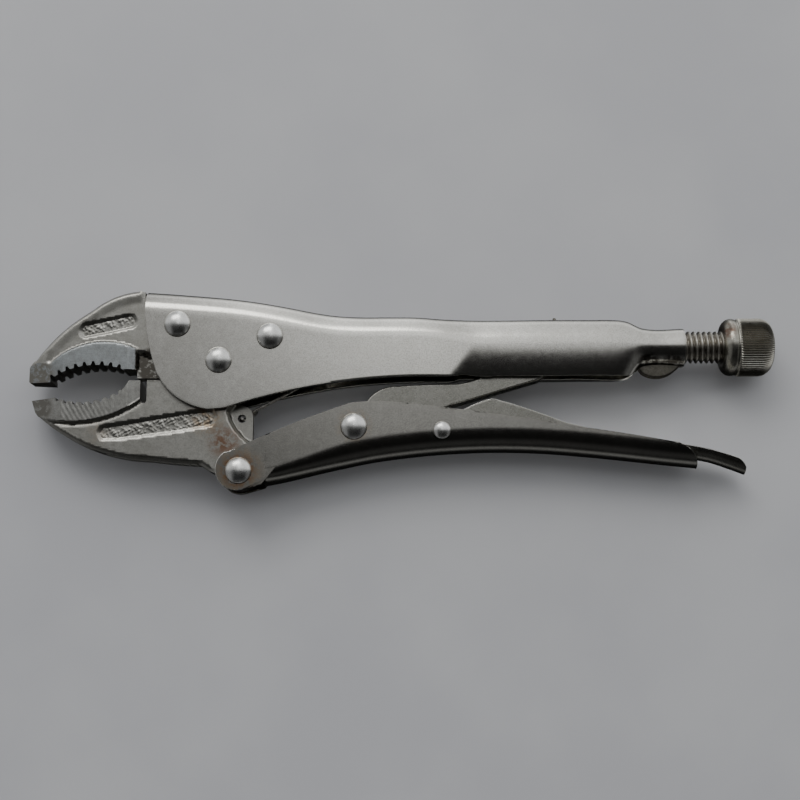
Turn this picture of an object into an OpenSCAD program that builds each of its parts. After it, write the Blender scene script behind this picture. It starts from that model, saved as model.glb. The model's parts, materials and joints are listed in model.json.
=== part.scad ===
// Locking pliers, curved jaw, 250 mm (10 inch) size, lying on one side.
// +X runs from the jaw tips to the adjusting knob, +Y from the lower handle to
// the upper handle, +Z along every pivot pin. The origin is under the middle
// of the outline, on the plane that the large rivet heads rest on.
// Sub-parts are drawn around the jaw pivot pin at mid thickness, and place()
// moves them all into the shared frame. The jaws stand in the locked pose.

/* [Pressed handles] */

// Outside half width of both pressed channels
shell_half = 7.5; // [7.3:0.1:7.8]

// Sheet thickness of both pressed channels
sheet = 2.3; // [2:0.1:2.4]

// Outside diameter of the rolled tube around the screw
tube_d = 12.6; // [12.3:0.1:13]

/* [Jaws] */

// Half thickness of the forged jaw bodies
jaw_half = 4.9; // [4.6:0.1:4.9]

// Half thickness of the raised toothed pads
pad_half = 6.2; // [5.6:0.1:6.6]

// Distance from tooth to tooth along the pads
tooth_pitch = 2.87; // [2.6:0.01:3.1]

// Depth of the tooth grooves
tooth_deep = 1.6; // [0.8:0.1:2]

// Depth of the long recesses in the jaw sides
pocket_deep = 0.8; // [0.4:0.1:1.2]

/* [Rivets] */

// Head diameter of the five large rivets
rivet_head_d = 8.8; // [8:0.1:9.6]

// Head height of the five large rivets
rivet_head_h = 2.4; // [2.3:0.1:2.6]

// Shank diameter of the five large rivets
rivet_d = 6; // [5.4:0.1:6.2]

// Head diameter of the release lever's rivet
pin_head_d = 5.8; // [5:0.1:6.4]

// Shank diameter of the release lever's rivet
pin_d = 3.6; // [3:0.1:4]

/* [Adjusting screw] */

// Outside diameter of the screw thread
screw_d = 10.8; // [10.6:0.05:10.9]

// Thread pitch, 14 turns to the inch
screw_pitch = 1.814; // [1.5:0.001:2]

// Knob diameter over the knurl
knob_d = 19.5; // [19:0.1:19.6]

// Number of straight knurl ridges around the knob
knurl_count = 60; // [48:2:72]

/* [Toggle link and release lever] */

// Half thickness of the toggle link
link_half = 3.8; // [3.2:0.1:3.9]

// Outside half width of the release lever
lever_half = 4.8; // [4.4:0.1:4.8]

// Sheet thickness of the release lever
lever_sheet = 1.8; // [1.2:0.1:2]

/* [Return spring] */

// Outside diameter of the spring coil
spring_d = 6.4; // [5:0.1:7]

// Diameter of the spring wire
wire_d = 1.1; // [0.8:0.1:1.3]

/* [Hidden] */

// Pins, measured from the jaw pivot pin
jaw_pin = [0, 0];
front_pin = [-13.9, 12.2];
rear_pin = [16.9, 8.1];
handle_pin = [7.2, -36.8];
toggle_pin = [44.9, -22.2];
lever_pin = [73.9, -23.4];
lug_hole = [7.5, -18.8];
spring_anchor = [62.5, 11.2];

// Screw axis and its stations along X
screw_y = 5.7;
tip_x = 118;
dog_len = 4;
dog_d = 8;
knob_x = 168;
end_x = 185.4;

// Ends of the outline, used to centre it
jaw_tip_x = -63.4;
crown_y = 24.7;
chin_y = -43.3;
ear_c = [6.6, -36.3];
ear_r = 7;

pin_fit = 0.05;
hub_r = 8.9;
hub_gap = 0.35;
slack = 1;

mid_x = (jaw_tip_x + end_x) / 2;
mid_y = (crown_y + chin_y) / 2;
rest_z = shell_half + rivet_head_h;

$fn = 48;

steel = [0.66, 0.65, 0.61];
forged = [0.62, 0.62, 0.60];
bright = [0.78, 0.78, 0.77];
dark_steel = [0.50, 0.49, 0.46];
wire_steel = [0.58, 0.56, 0.52];

// ---------------------------------------------------------------- helpers

// Moves a sub-part from the jaw pivot pin into the shared frame.
module place() {
    translate([-mid_x, -mid_y, rest_z])
        children();
}

// Points of a circular arc from p to q that bulges to the left by s.
function bow(p, q, s, n = 8) =
    let (
        d = norm(q - p),
        u = (q - p) / d,
        r = (d * d / 4 + s * s) / (2 * abs(s)),
        c = (p + q) / 2 + [-u[1], u[0]] * (s - sign(s) * r),
        a0 = atan2(p[1] - c[1], p[0] - c[0]),
        a1 = atan2(q[1] - c[1], q[0] - c[0]),
        turn = a1 - a0,
        sweep = s > 0 ? (turn > 0 ? turn - 360 : turn)
                      : (turn < 0 ? turn + 360 : turn)
    )
    [for (i = [0:n]) c + r * [cos(a0 + sweep * i / n), sin(a0 + sweep * i / n)]];

// Points of an arc about c from angle a0 to a1.
function arc(c, r, a0, a1, n = 12) =
    [for (i = [0:n]) c + r * [cos(a0 + (a1 - a0) * i / n), sin(a0 + (a1 - a0) * i / n)]];

// A flat plate with the given outline, centred on the middle plane.
module slab(points, half) {
    translate([0, 0, -half])
        linear_extrude(height = 2 * half)
            polygon(points);
}

// A round pin or hole through the middle plane.
module pin_at(p, d, half) {
    translate([p[0], p[1], -half])
        cylinder(d = d, h = 2 * half);
}

// A recess of the given outline and depth, cut into both sides of a jaw.
module side_pocket(points, half, deep) {
    for (side = [-1, 1])
        translate([0, 0, side > 0 ? half - deep : -half - slack])
            linear_extrude(height = deep + slack)
                polygon(points);
}

// One U section of a pressed channel at station s, open towards -Y.
// s = [x, crown, top centre, side end, lip radius, half width, lip angle]
back_steps = 12;
lip_steps = 4;
section_size = 2 * (back_steps + 2 * lip_steps + 3);

function wall(s, t, side) = concat(
    [for (j = [lip_steps:-1:0])
        let (a = s[6] * j / lip_steps)
        [s[0], s[3] - (s[4] - t) * sin(a), (s[5] - t) * cos(a)]],
    [for (i = [0:back_steps])
        let (a = 180 * i / back_steps)
        [s[0], s[2] + (s[1] - s[2] - t) * sin(a), (s[5] - t) * cos(a)]],
    [for (j = [0:lip_steps])
        let (a = s[6] * j / lip_steps)
        [s[0], s[3] - (s[4] - t) * sin(a), -(s[5] - t) * cos(a)]]
);

function reversed(v) = [for (i = [len(v) - 1:-1:0]) v[i]];

// A pressed channel lofted through its stations.
module channel(stations, t) {
    m = section_size;
    n = len(stations);
    rings = [for (s = stations) concat(wall(s, 0), reversed(wall(s, t)))];
    half = m / 2;
    skin = [for (k = [0:n - 2], i = [0:m - 1])
        let (a = k * m + i, b = k * m + (i + 1) % m)
        [a, b, b + m, a + m]];
    caps = [for (i = [0:half - 2])
        each [[i, m - 1 - i, m - 2 - i, i + 1],
              [for (q = [i + 1, m - 2 - i, m - 1 - i, i]) (n - 1) * m + q]]];
    polyhedron(points = [for (r = rings) each r], faces = concat(skin, caps), convexity = 6);
}

// A domed rivet: two heads on one shank, each with a small flat crown.
module rivet(p, d, head_d, head_h, half, flat_d) {
    r = head_d / 2;
    f = flat_d / 2;
    profile = concat(
        [[0, -half - head_h]],
        bow([f, -half - head_h], [r, -half], -0.15 * r, 8),
        [[d / 2, -half], [d / 2, half]],
        bow([r, half], [f, half + head_h], -0.15 * r, 8),
        [[0, half + head_h]]
    );
    translate([p[0], p[1], 0])
        rotate_extrude()
            polygon(profile);
}

module large_rivet(p) {
    rivet(p, rivet_d, rivet_head_d, rivet_head_h, shell_half, 3);
}

// ---------------------------------------------------------------- handles

// Side outline of the upper handle; the rear is left to the loft itself.
upper_cut = concat(
    [[jaw_tip_x, 60], [-24.6, 60]],
    bow([-24.7, 25], [-20.1, -5.1], -1.7, 10),
    bow([-20.1, -5.1], [-3, -16.5], -2.5, 10),
    [[2, -16]],
    bow([2, -16], [66.7, -5.2], 2.5, 14),
    [[80, -5.3], [80, -60], [jaw_tip_x, -60]]
);

upper_stations = [
    [-27, 24.7, 17.2, -18, 7.5, shell_half, 4],
    [-16, 24.1, 16.6, -18, 7.5, shell_half, 4],
    [-6, 23.2, 15.7, -18, 7.5, shell_half, 4],
    [4, 22.1, 14.6, -18, 7.5, shell_half, 4],
    [14, 20.7, 13.2, -18, 7.5, shell_half, 4],
    [24, 18.9, 11.4, -16, 7.5, shell_half, 4],
    [32, 17.3, 9.8, -14, 7.5, shell_half, 4],
    [38, 16.4, 8.9, -12, 7.5, shell_half, 4],
    [46, 15.9, 8.4, -12, 7.5, shell_half, 4],
    [56, 15.9, 8.4, -10, 7.5, shell_half, 4],
    [66, 15.8, 8.3, -9, 7.5, shell_half, 4],
    [74, 15.2, 7.7, -8, 7.5, shell_half, 4],
    [78, 15, 6.9, -3, 11, shell_half, 14],
    [84, 14.8, 5.7, 5, 18.5, shell_half, 33],
    [94, 14.8, 5.7, 5, 18.5, shell_half, 33],
    [110, 15, 5.7, 5, 18.5, shell_half, 33],
    [124, 15, 5.7, 5, 18, shell_half, 33.5],
    [130, 14.6, 5.7, 5, 12.8, shell_half - 0.1, 50],
    [134, 14, 5.7, 5.2, 10.2, shell_half - 0.4, 62],
    [138, 13.1, 5.7, 5.4, 8.2, shell_half - 0.8, 72],
    [142, screw_y + tube_d / 2, screw_y, 5.6, 6.8, tube_d / 2, 80]
];

// Lips of the rolled tube, pressed together under the screw.
tube_keel = [[139, 0], [141, -3.4], [143, -4.6], [146, -4.9], [150, -3.8], [154, -0.9], [154, 1], [139, 1]];

module upper_handle() {
    color(steel)
        place()
            difference() {
                union() {
                    channel(upper_stations, sheet);
                    translate([140, screw_y, 0])
                        rotate([0, 90, 0])
                            cylinder(d = tube_d, h = 15.2);
                    slab(tube_keel, 1.7);
                }
                slab(upper_cut, 20);
                translate([117, screw_y, 0])
                    rotate([0, 90, 0])
                        cylinder(d = screw_d + 2 * pin_fit, h = 50);
                translate([138, screw_y - 12, -0.4])
                    cube([20, 10, 0.8]);
                for (p = [jaw_pin, front_pin, rear_pin])
                    pin_at(p, rivet_d, 20);
            }
}

// Side outline of the lower handle.
lower_keep = concat(
    arc(ear_c, ear_r, 270, 128, 14),
    bow([4.2, -30.3], [43, -14.6], 0.7, 6),
    bow([43.8, -14.3], [60, -14.2], 0.45, 6),
    bow([60.5, -14.25], [119, -22.2], 0.5, 8),
    bow([119.5, -22.3], [149.6, -27.1], 0.2, 4),
    bow([149.8, -27.2], [158.4, -34.4], 2, 8),
    [[158.4, -60], [15.5, -60], [15.5, -43.3]]
);

// Flat ears around the handle pivot pin.
lower_ear = concat(
    arc(ear_c, ear_r, 290, 128, 16),
    [[17, -24.3], [27, -20], [27, -31], [21, -34.5], [16, -39.8], [14.4, -41.7]]
);

// Stations are mirrored in Y, so the channel opens towards +Y.
lower_stations = [
    [15.5, 41.2, 33.7, 16, 7.5, shell_half, 4],
    [20, 40.4, 32.9, 16, 7.5, shell_half, 4],
    [27, 38.8, 31.3, 14, 7.5, shell_half, 4],
    [34, 37.1, 29.6, 12, 7.5, shell_half, 4],
    [42, 35.3, 27.8, 10, 7.5, shell_half, 4],
    [52, 33.3, 25.8, 10, 7.5, shell_half, 4],
    [62, 31.9, 24.4, 10, 7.5, shell_half, 4],
    [76, 30.6, 23.1, 10, 7.5, shell_half, 4],
    [92, 30, 22.5, 12, 7.5, shell_half, 4],
    [108, 30.4, 22.9, 14, 7.5, shell_half, 4],
    [122, 31.5, 24, 16, 7.5, shell_half, 4],
    [134, 32.7, 25.2, 18, 7.5, shell_half, 4],
    [146, 34, 26.5, 20, 7.5, shell_half, 4],
    [160, 35.4, 27.9, 22, 7.5, shell_half, 4]
];

module lower_handle() {
    color(steel)
        place()
            difference() {
                union() {
                    intersection() {
                        mirror([0, 1, 0])
                            channel(lower_stations, sheet);
                        slab(lower_keep, 20);
                    }
                    for (side = [-1, 1])
                        translate([0, 0, side * (shell_half - sheet / 2)])
                            slab(lower_ear, sheet / 2);
                }
                for (p = [handle_pin, toggle_pin])
                    pin_at(p, rivet_d, 20);
                pin_at(lever_pin, pin_d, 20);
            }
}

// ---------------------------------------------------------------- jaws

// Tooth grooves of a given count, cut square across a pad along an arc.
module teeth(c, r, a0, count) {
    step = tooth_pitch / r * 57.2958;
    for (i = [0:count - 1])
        let (a = a0 + i * step)
        translate([c[0] + r * cos(a), c[1] + r * sin(a), 0])
            rotate([0, 0, a])
                slab([[-slack, -tooth_pitch * 0.75],
                      [-slack, tooth_pitch * 0.75],
                      [tooth_deep, 0]], 20);
}

// Plan taper that narrows both jaws towards their tips.
module tip_taper() {
    rotate([90, 0, 0])
        slab([[jaw_tip_x, -3.2], [-52, -pad_half], [40, -pad_half],
              [40, pad_half], [-52, pad_half], [jaw_tip_x, 3.2]], 60);
}

upper_bite_c = [-40.6, -28.4];
upper_bite_r = 27;

// Back of the upper jaw, moved out by k where the forging is rounder.
function upper_back(k) = [for (p = concat(
    [[-60.4, -0.5], [-58.5, 2.2]],
    bow([-56.5, 4.6], [-43.7, 15.7], 0.7, 4),
    bow([-41.7, 17.1], [-26.8, 23.3], 1.2, 5))) p + k * [-0.75, 0.8]];

function upper_body(k) = concat(
    upper_back(k),
    [[-25.2, 23], [-25.2, 18.2], [-20, 17.4], [14, 14.4], [23, 12.4]],
    bow([23, 12.4], [23.6, 2.5], 1.2, 4),
    [[5, 2.5], [-7, -5.4], [-27.4, -5.4], [-27.4, -2.6], [-31, -2.6]],
    arc(upper_bite_c, upper_bite_r, 71, 118, 10),
    [[-56, -6.2], [-60, -6.2]]
);

upper_pad = concat(
    [[-62.6, -7.1], [jaw_tip_x, -5.8], [jaw_tip_x, -2.6], [-62.6, -1.3], [-60.8, -0.3]],
    bow([-56, -0.8], [-27.9, 4.3], 4.4, 10),
    [[-27.9, -2.8], [-31.4, -2.8]],
    arc(upper_bite_c, upper_bite_r, 69.5, 124, 14),
    [[-55.9, -7.1]]
);

// Low flat behind the upper pad, where the jaws cut wire.
wire_cutter = [[-27.9, -8], [-27.9, 3.5], [-24, 2.4], [-22, 2], [-18.5, 1.5], [-17, -8]];

upper_pocket = concat(
    bow([-45.4, 7.9], [-45.6, 12.9], 1.4, 4),
    [[-30.4, 16.2]],
    bow([-30.4, 16.2], [-29.2, 11.4], 2, 4)
);

module upper_jaw() {
    color(forged)
        place()
            difference() {
                intersection() {
                    union() {
                        slab(upper_body(0), jaw_half);
                        slab(upper_body(0.6), jaw_half - 1.1);
                        slab(upper_body(1.1), jaw_half - 2.4);
                        slab(upper_body(1.4), jaw_half - 3.8);
                        slab(upper_pad, pad_half);
                    }
                    tip_taper();
                }
                teeth(upper_bite_c, upper_bite_r, 73, 9);
                side_pocket(upper_pocket, jaw_half, pocket_deep);
                side_pocket(wire_cutter, jaw_half, 1.5);
                pin_at(jaw_pin, 2 * (hub_r + hub_gap), 20);
                for (p = [front_pin, rear_pin])
                    pin_at(p, rivet_d, 20);
            }
}

lower_bite_c = [-45.6, 9.3];
lower_bite_r = 23.2;

lower_body = concat(
    [[-59, -14]],
    [[-60, -17.4]],
    bow([-59.4, -18.2], [-23.3, -32.8], -3.4, 12),
    bow([-22, -32.9], [-6, -34.3], -0.2, 3),
    [[-2.5, -36.6]],
    arc(handle_pin, 5.8, 195, 390, 14),
    bow([10, -27], [3, -17], 1.1, 8),
    bow([3.4, -16], [8, -4], -0.8, 4),
    arc(jaw_pin, hub_r, -27, 222, 20),
    [[-9, -6.3], [-23.9, -6.3], [-23.9, -13.6], [-26.2, -13.6], [-32, -13.6], [-45, -17]]
);

lower_pad = concat(
    [[-62.2, -13.1]],
    [[-60.8, -17.2], [-59.6, -18.6]],
    bow([-59.6, -18.6], [-26, -12.9], -4.2, 12),
    [[-26, -6.5], [-29.6, -6.5], [-29.7, -8.6]],
    arc(lower_bite_c, lower_bite_r, 309, 250, 14),
    [[-55.6, -12.5]]
);

lower_pocket = concat(
    bow([-38.2, -26.5], [-38.2, -21.6], 1.5, 4),
    [[-22.5, -19], [-9, -16.8], [-3, -16]],
    bow([-1.6, -16.4], [-2.2, -21.8], 1, 4),
    [[-15, -24], [-32, -26.2]]
);

// Thin lug that the return spring hooks into.
lug = concat(
    [[0, -12]],
    bow([6.5, -14.4], [11.1, -17], 0.9, 5),
    [[11.2, -17.4], [11.2, -28], [2, -28]]
);

module lower_jaw() {
    color(forged)
        place()
            difference() {
                intersection() {
                    union() {
                        slab(lower_body, jaw_half);
                        slab(lower_pad, pad_half);
                        slab(lug, 1.6);
                    }
                    tip_taper();
                }
                teeth(lower_bite_c, lower_bite_r, 251.5, 8);
                side_pocket(lower_pocket, jaw_half, pocket_deep);
                pin_at(lug_hole, 2.8, 20);
                for (p = [jaw_pin, handle_pin])
                    pin_at(p, rivet_d + 2 * pin_fit, 20);
            }
}

// ---------------------------------------------------------------- linkage

link_nose = [111.6, 4.7];
link_nose_r = 3.9;

link_outline = concat(
    arc(toggle_pin, 6.3, 280, 104, 12),
    bow([48, -14.8], [60, -8.1], 2.1, 8),
    bow([61, -7.9], [80, -7.3], 0.15, 4),
    bow([81, -7.1], [86.5, -5.3], -0.2, 4),
    [[99, -0.6], [104, 4]],
    arc(link_nose, link_nose_r, 140, -60, 12),
    [[106.6, -5.9], [100, -7.8]],
    bow([93, -9.9], [76.7, -14.7], 0.1, 3),
    bow([72, -16.6], [56, -24], 0.3, 4)
);

module toggle_link() {
    color(dark_steel)
        place()
            difference() {
                slab(link_outline, link_half);
                pin_at(toggle_pin, rivet_d + 2 * pin_fit, 20);
            }
}

lever_keep = concat(
    bow([70, -60], [70.2, -20.6], 0.1, 2),
    [[72, -19.6], [79, -17]],
    bow([81.9, -15.8], [90.5, -12.5], 0.3, 4),
    bow([91.2, -12.5], [114.6, -20.4], 0.4, 6),
    [[130, -24.1], [145, -26.8]],
    bow([150, -27.3], [171.6, -32.2], 0.7, 6),
    bow([171.8, -32.3], [174.6, -38.2], 0.9, 5),
    [[174.6, -60]]
);

lever_stations = [
    [69, 28, 23.2, 8, 4.8, lever_half, 4],
    [76, 27.5, 22.7, 8, 4.8, lever_half, 4],
    [92, 27.1, 22.3, 8, 4.8, lever_half, 4],
    [108, 27.5, 22.7, 10, 4.8, lever_half, 4],
    [122, 28.6, 23.8, 12, 4.8, lever_half, 4],
    [134, 29.8, 25, 14, 4.8, lever_half, 4],
    [146, 31.1, 26.3, 16, 4.8, lever_half, 4],
    [157, 32.2, 27.4, 18, 4.8, lever_half, 4],
    [163, 33.4, 28.6, 20, 4.8, lever_half, 4],
    [169, 35.4, 30.6, 22, 4.8, lever_half, 4],
    [176, 38, 33.2, 24, 4.8, lever_half, 4]
];

module release_lever() {
    color(dark_steel)
        place()
            difference() {
                intersection() {
                    mirror([0, 1, 0])
                        channel(lever_stations, lever_sheet);
                    slab(lever_keep, 20);
                }
                pin_at(lever_pin, pin_d + 2 * pin_fit, 20);
            }
}

// ---------------------------------------------------------------- screw

// Profile of the threaded rod: one ridge per pitch.
thread_deep = 1.1;
thread_turns = floor((knob_x - tip_x - dog_len - 3) / screw_pitch);

module thread_rod() {
    r = screw_d / 2;
    p = screw_pitch;
    x0 = tip_x + dog_len;
    rings = [for (i = [0:thread_turns - 1])
        let (x = x0 + 1.6 + i * p)
        each [[r - thread_deep, x], [r, x + 0.40 * p], [r, x + 0.60 * p]]];
    rotate_extrude()
        polygon(concat([[0, x0], [r - thread_deep - 0.6, x0]], rings,
                       [[r - thread_deep, knob_x], [r - thread_deep, knob_x + 2], [0, knob_x + 2]]));
}

module knob() {
    r = knob_d / 2;
    profile = concat(
        [[0, knob_x], [5.4, knob_x]],
        bow([5.4, knob_x], [r - 0.6, 173.6], -1.5, 6),
        [[r - 1, 174], [r - 1, 174.8], [r, 175.2], [r, 183.2]],
        bow([r, 183.2], [6.5, end_x - 0.1], -0.9, 5),
        [[3, end_x], [0, end_x]]
    );
    intersection() {
        rotate_extrude()
            polygon(profile);
        translate([0, 0, knob_x - 1])
            linear_extrude(height = end_x - knob_x + 2)
                polygon([for (i = [0:2 * knurl_count - 1])
                    let (a = 180 * i / knurl_count, q = i % 2 == 0 ? r + 0.02 : r - 0.55)
                    [q * cos(a), q * sin(a)]]);
    }
}

module adjusting_screw() {
    color(dark_steel)
        place()
            translate([0, screw_y, 0])
                rotate([0, 90, 0])
                    union() {
                        thread_rod();
                        knob();
                    }
}

module screw_tip() {
    color(dark_steel)
        place()
            translate([tip_x, screw_y, 0])
                rotate([0, 90, 0])
                    cylinder(d1 = dog_d - 1, d2 = dog_d, h = dog_len);
}

// ---------------------------------------------------------------- spring

module return_spring() {
    run = spring_anchor - lug_hole;
    len_all = norm(run);
    coil_a = 20;
    coil_b = len_all - 11;
    eye_r = 3;
    eye_x = 2.4;
    color(wire_steel)
        place()
            translate([lug_hole[0], lug_hole[1], 0])
                rotate([0, 0, atan2(run[1], run[0])])
                    union() {
                        translate([coil_a, 0, 0])
                            rotate([0, 90, 0])
                                difference() {
                                    cylinder(d = spring_d, h = coil_b - coil_a);
                                    translate([0, 0, wire_d])
                                        cylinder(d = spring_d - 2 * wire_d,
                                                 h = coil_b - coil_a - 2 * wire_d);
                                }
                        translate([eye_x, 0, eye_r - 0.2])
                            rotate([0, 90, 0])
                                cylinder(d = wire_d, h = coil_a - 1);
                        translate([coil_b - 1, 0, 0])
                            rotate([0, 90, 0])
                                cylinder(d = wire_d, h = len_all - coil_b);
                        translate([eye_x, 0, 0])
                            rotate([90, 0, 0])
                                rotate_extrude()
                                    translate([eye_r, 0])
                                        circle(d = wire_d);
                    }
}

// ---------------------------------------------------------------- rivets

module front_jaw_rivet() {
    color(bright)
        place()
            large_rivet(front_pin);
}

module rear_jaw_rivet() {
    color(bright)
        place()
            large_rivet(rear_pin);
}

module jaw_pivot_rivet() {
    color(bright)
        place()
            large_rivet(jaw_pin);
}

module handle_pivot_rivet() {
    color(bright)
        place()
            large_rivet(handle_pin);
}

module toggle_pivot_rivet() {
    color(bright)
        place()
            large_rivet(toggle_pin);
}

module lever_pivot_rivet() {
    color(bright)
        place()
            rivet(lever_pin, pin_d, pin_head_d, 1.5, shell_half, 1.6);
}

upper_handle();
upper_jaw();
lower_jaw();
lower_handle();
toggle_link();
release_lever();
adjusting_screw();
screw_tip();
return_spring();
front_jaw_rivet();
rear_jaw_rivet();
jaw_pivot_rivet();
handle_pivot_rivet();
toggle_pivot_rivet();
lever_pivot_rivet();
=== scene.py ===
import json
import math

import bpy
import numpy as np
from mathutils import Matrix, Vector, geometry


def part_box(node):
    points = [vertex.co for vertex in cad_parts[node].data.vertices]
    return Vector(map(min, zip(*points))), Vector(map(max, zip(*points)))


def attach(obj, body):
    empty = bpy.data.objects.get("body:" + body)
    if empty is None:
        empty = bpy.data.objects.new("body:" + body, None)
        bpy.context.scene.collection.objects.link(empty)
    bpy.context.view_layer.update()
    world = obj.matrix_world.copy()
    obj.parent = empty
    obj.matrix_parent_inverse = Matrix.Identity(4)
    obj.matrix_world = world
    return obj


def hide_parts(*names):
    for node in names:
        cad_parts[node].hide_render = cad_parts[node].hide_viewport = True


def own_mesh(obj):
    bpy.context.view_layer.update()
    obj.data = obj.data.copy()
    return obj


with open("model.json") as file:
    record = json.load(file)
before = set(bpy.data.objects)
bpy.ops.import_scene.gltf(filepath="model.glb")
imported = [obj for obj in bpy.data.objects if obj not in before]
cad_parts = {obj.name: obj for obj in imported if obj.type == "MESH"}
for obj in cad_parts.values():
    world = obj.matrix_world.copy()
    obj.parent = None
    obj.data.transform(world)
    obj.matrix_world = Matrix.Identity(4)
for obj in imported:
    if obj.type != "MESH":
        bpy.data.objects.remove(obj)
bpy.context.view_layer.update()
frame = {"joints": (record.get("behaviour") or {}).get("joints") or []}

# Lengths below are in millimetres from the jaw pivot pin.
JOINTS = {j["name"]: j for j in frame["joints"]}
PIN = np.array(JOINTS["jaw_pivot"]["pos_m"]) * 1000
MM = 0.001


def from_pin(joint):
    """Place of a joint as (x, y) from the jaw pivot pin."""
    p = np.array(JOINTS[joint]["pos_m"]) * 1000 - PIN
    return p[:2]


def node_end(node, corner, axis):
    """One side of a node's box: corner 0 is the low one and 1 the high one."""
    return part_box(node)[corner][axis] * 1000 - PIN[axis]


handle_pin = from_pin("handle_pivot")
toggle_pin = from_pin("toggle_pivot")
lever_pin = from_pin("lever_pivot")
jaw_pin = np.array([0.0, 0.0])


def node_centre(node):
    lo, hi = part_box(node)
    return np.array([(lo[0] + hi[0]) * 500 - PIN[0], (lo[1] + hi[1]) * 500 - PIN[1]])


front_pin = node_centre("front_jaw_rivet")
rear_pin = node_centre("rear_jaw_rivet")
screw_y = JOINTS["screw_turn"]["pos_m"][1] * 1000 - PIN[1]
tip_x = node_end("screw_tip", 0, 0)
end_x = node_end("adjusting_screw", 1, 0)
jaw_tip_x = node_end("upper_jaw", 0, 0)
knob_r = (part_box("adjusting_screw")[1][2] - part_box("adjusting_screw")[0][2]) * 500
SHELL = 7.5  # half width of both handles
SHEET = 2.3  # thickness of their sheet
JAW = 4.9    # half thickness of the jaw forgings
PAD = 6.2    # half thickness at the toothed pads

# ------------------------------------------------------------------ curves


def bow(p, q, s, n=8):
    """Arc from p to q that bulges to the left by s."""
    p, q = np.array(p, float), np.array(q, float)
    d = np.linalg.norm(q - p)
    u = (q - p) / d
    r = (d * d / 4 + s * s) / (2 * abs(s))
    c = (p + q) / 2 + np.array([-u[1], u[0]]) * (s - math.copysign(r, s))
    a0 = math.atan2(p[1] - c[1], p[0] - c[0])
    a1 = math.atan2(q[1] - c[1], q[0] - c[0])
    turn = a1 - a0
    if s > 0 and turn > 0:
        turn -= 2 * math.pi
    if s < 0 and turn < 0:
        turn += 2 * math.pi
    return [c + r * np.array([math.cos(a0 + turn * i / n), math.sin(a0 + turn * i / n)])
            for i in range(n + 1)]


def arc(c, r, a0, a1, n=12):
    """Points round c from angle a0 to a1, in degrees."""
    return [np.array(c) + r * np.array([math.cos(math.radians(a0 + (a1 - a0) * i / n)),
                                        math.sin(math.radians(a0 + (a1 - a0) * i / n))])
            for i in range(n + 1)]


def pts(*items):
    """One list of points out of single points and lists of points."""
    out = []
    for it in items:
        if isinstance(it, list) and len(it) and not np.isscalar(it[0]):
            out += [np.array(p, float) for p in it]
        else:
            out.append(np.array(it, float))
    return np.array(out)


def dense(poly, step, closed=True):
    """Adds points so that no gap along the line is longer than step."""
    poly = np.array(poly, float)
    out = []
    n = len(poly)
    for i in range(n if closed else n - 1):
        p, q = poly[i], poly[(i + 1) % n]
        k = max(1, int(math.ceil(np.linalg.norm(q - p) / step)))
        out += [p + (q - p) * j / k for j in range(k)]
    if not closed:
        out.append(poly[-1])
    return np.array(out)


def offset_line(line, d, closed=False):
    """The line moved to its left by d."""
    line = np.array(line, float)
    if closed:
        t = np.roll(line, -1, 0) - np.roll(line, 1, 0)
    else:
        t = np.gradient(line, axis=0)
    t /= np.linalg.norm(t, axis=1)[:, None] + 1e-12
    return line + d * np.stack([-t[:, 1], t[:, 0]], 1)


def hermite(table, x):
    """Smooth values of a table at x; the first column is x."""
    table = np.array(table, float)
    xs, ys = table[:, 0], table[:, 1:]
    m = np.gradient(ys, xs, axis=0)
    i = int(np.clip(np.searchsorted(xs, x) - 1, 0, len(xs) - 2))
    h = xs[i + 1] - xs[i]
    t = np.clip((x - xs[i]) / h, 0, 1)
    a, b = 2 * t**3 - 3 * t**2 + 1, t**3 - 2 * t**2 + t
    c, d = -2 * t**3 + 3 * t**2, t**3 - t**2
    return a * ys[i] + b * h * m[i] + c * ys[i + 1] + d * h * m[i + 1]


def distance(line, p, closed=True):
    """Distance from each point of p to the line."""
    a = np.array(line, float)
    b = np.roll(a, -1, 0) if closed else a[1:]
    a = a if closed else a[:-1]
    best = np.full(len(p), 1e9)
    for u, v in zip(a, b):
        w = v - u
        t = np.clip(((p - u) @ w) / max(w @ w, 1e-12), 0, 1)
        best = np.minimum(best, np.linalg.norm(p - u - t[:, None] * w, axis=1))
    return best


def inside(poly, p):
    """Which points of p lie inside the outline."""
    a = np.array(poly, float)
    b = np.roll(a, -1, 0)
    res = np.zeros(len(p), bool)
    for u, v in zip(a, b):
        hit = (u[1] > p[:, 1]) != (v[1] > p[:, 1])
        with np.errstate(divide="ignore", invalid="ignore"):
            xc = u[0] + (p[:, 1] - u[1]) * (v[0] - u[0]) / (v[1] - u[1])
        res ^= hit & (p[:, 0] < xc)
    return res


def signed(poly, p):
    """Distance to the outline, positive inside it."""
    d = distance(poly, p)
    return np.where(inside(poly, p), d, -d)


def ramp(x, a, b):
    """Smooth step from 0 at a to 1 at b."""
    t = np.clip((x - a) / (b - a), 0, 1)
    return t * t * (3 - 2 * t)


# ------------------------------------------------------------------ meshes


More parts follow.
